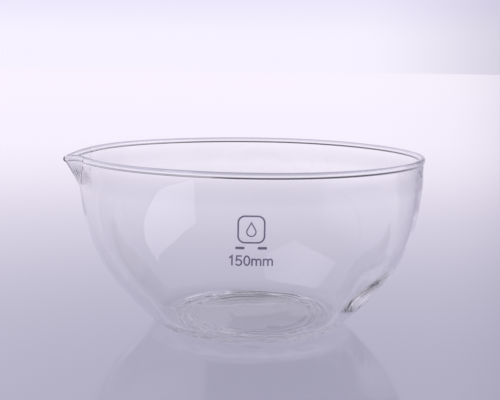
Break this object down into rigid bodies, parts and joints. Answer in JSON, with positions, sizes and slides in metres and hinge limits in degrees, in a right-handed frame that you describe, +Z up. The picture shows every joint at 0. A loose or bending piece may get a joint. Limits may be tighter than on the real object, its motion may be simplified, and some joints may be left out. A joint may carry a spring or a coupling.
{
  "type": "evaporating dish",
  "caption": "Round deep glass laboratory dish with a small pouring spout, for evaporating liquids over gentle heat.",
  "frame": {"origin": "on the axis of the dish, on the surface that it stands on", "axes": "+Z up along the axis of the dish, out of its mouth; -X towards the pouring spout; -Y towards the print"},
  "size_m": [0.1565, 0.15, 0.075],
  "materials": {
    "glass": "clear colourless borosilicate glass, fire-polished, smooth, IOR 1.47",
    "enamel": "grey-violet ceramic enamel print fired onto the glass, satin to matt, thin"
  },
  "bodies": {
    "root": {"glass_dish": "glass", "mark_frame": "enamel", "mark_drop": "enamel", "mark_dash_left": "enamel", "mark_dash_right": "enamel", "figure_one": "enamel", "figure_five": "enamel", "figure_zero": "enamel", "unit_m_first": "enamel", "unit_m_second": "enamel"}
  },
  "joints": []
}
